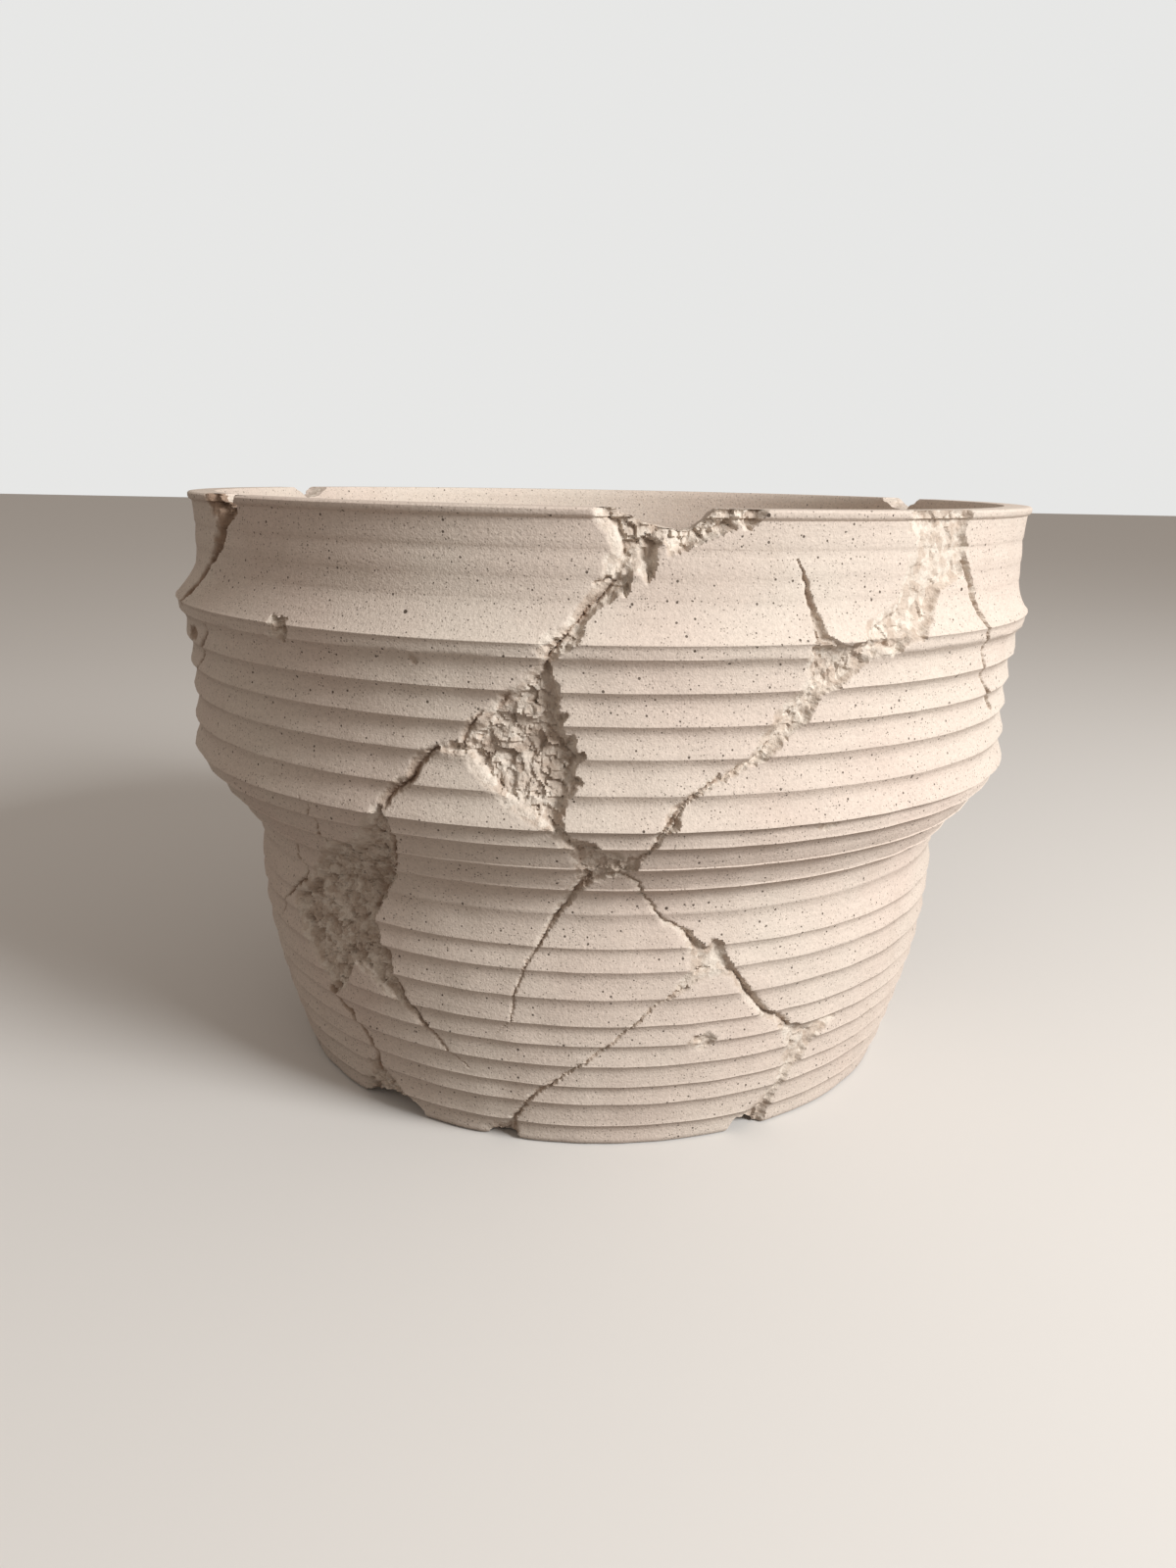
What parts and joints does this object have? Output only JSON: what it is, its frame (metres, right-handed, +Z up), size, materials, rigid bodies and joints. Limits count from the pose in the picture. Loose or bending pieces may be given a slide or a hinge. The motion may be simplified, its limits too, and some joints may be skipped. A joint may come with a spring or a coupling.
{
  "type": "flower pot",
  "caption": "Round ribbed flower pot in pale speckled unglazed clay, waisted below the rim, broken and cracked down its front.",
  "frame": {"origin": "centre of the foot, on the surface the pot stands on", "axes": "+Z up the pot's axis, -Y toward the cracked front with the broken notch in the rim"},
  "size_m": [0.2468, 0.2468, 0.1626],
  "materials": {
    "clay": "matt, unglazed, speckled"
  },
  "bodies": {
    "root": {"pot": "clay"}
  },
  "joints": []
}
